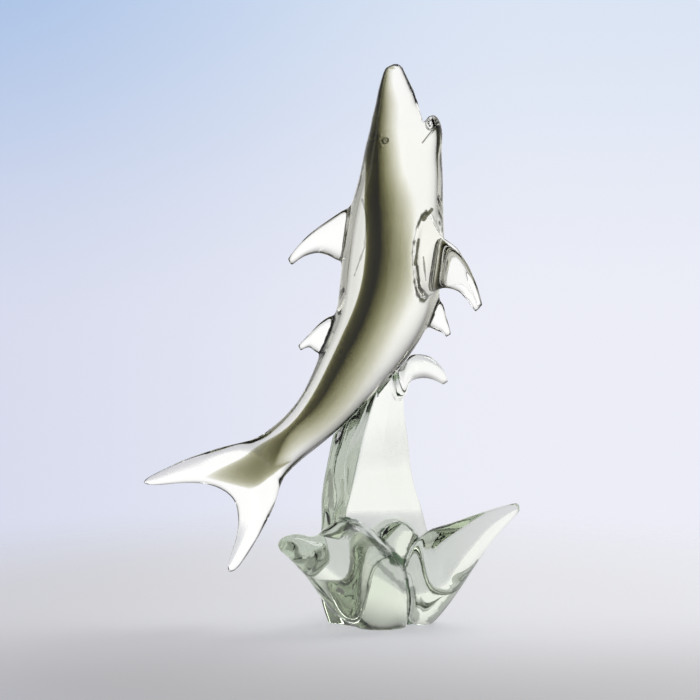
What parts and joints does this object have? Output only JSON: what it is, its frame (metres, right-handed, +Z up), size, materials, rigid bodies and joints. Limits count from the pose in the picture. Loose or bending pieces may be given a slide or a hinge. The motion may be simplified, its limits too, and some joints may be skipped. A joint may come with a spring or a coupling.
{
  "type": "glass shark sculpture",
  "caption": "Solid glass leaping shark with a smoke-coloured core, standing nose up on a clear glass wave with a flat ground foot.",
  "frame": {"origin": "on the ground foot's flat underside, at the middle of the wave's foot", "axes": "+Z up towards the shark's nose; +X towards the shark's belly side and the wave's curl; +Y away from the side shown in the picture, square to the shark's symmetry plane"},
  "size_m": [0.1999, 0.0901, 0.2944],
  "materials": {
    "smoke_glass": "clear fire-polished glass cased over a smoke and olive core",
    "water_glass": "clear fire-polished glass with a faint green tint where it is thick"
  },
  "bodies": {
    "root": {"shark": "smoke_glass", "wave_base": "water_glass"}
  },
  "joints": []
}
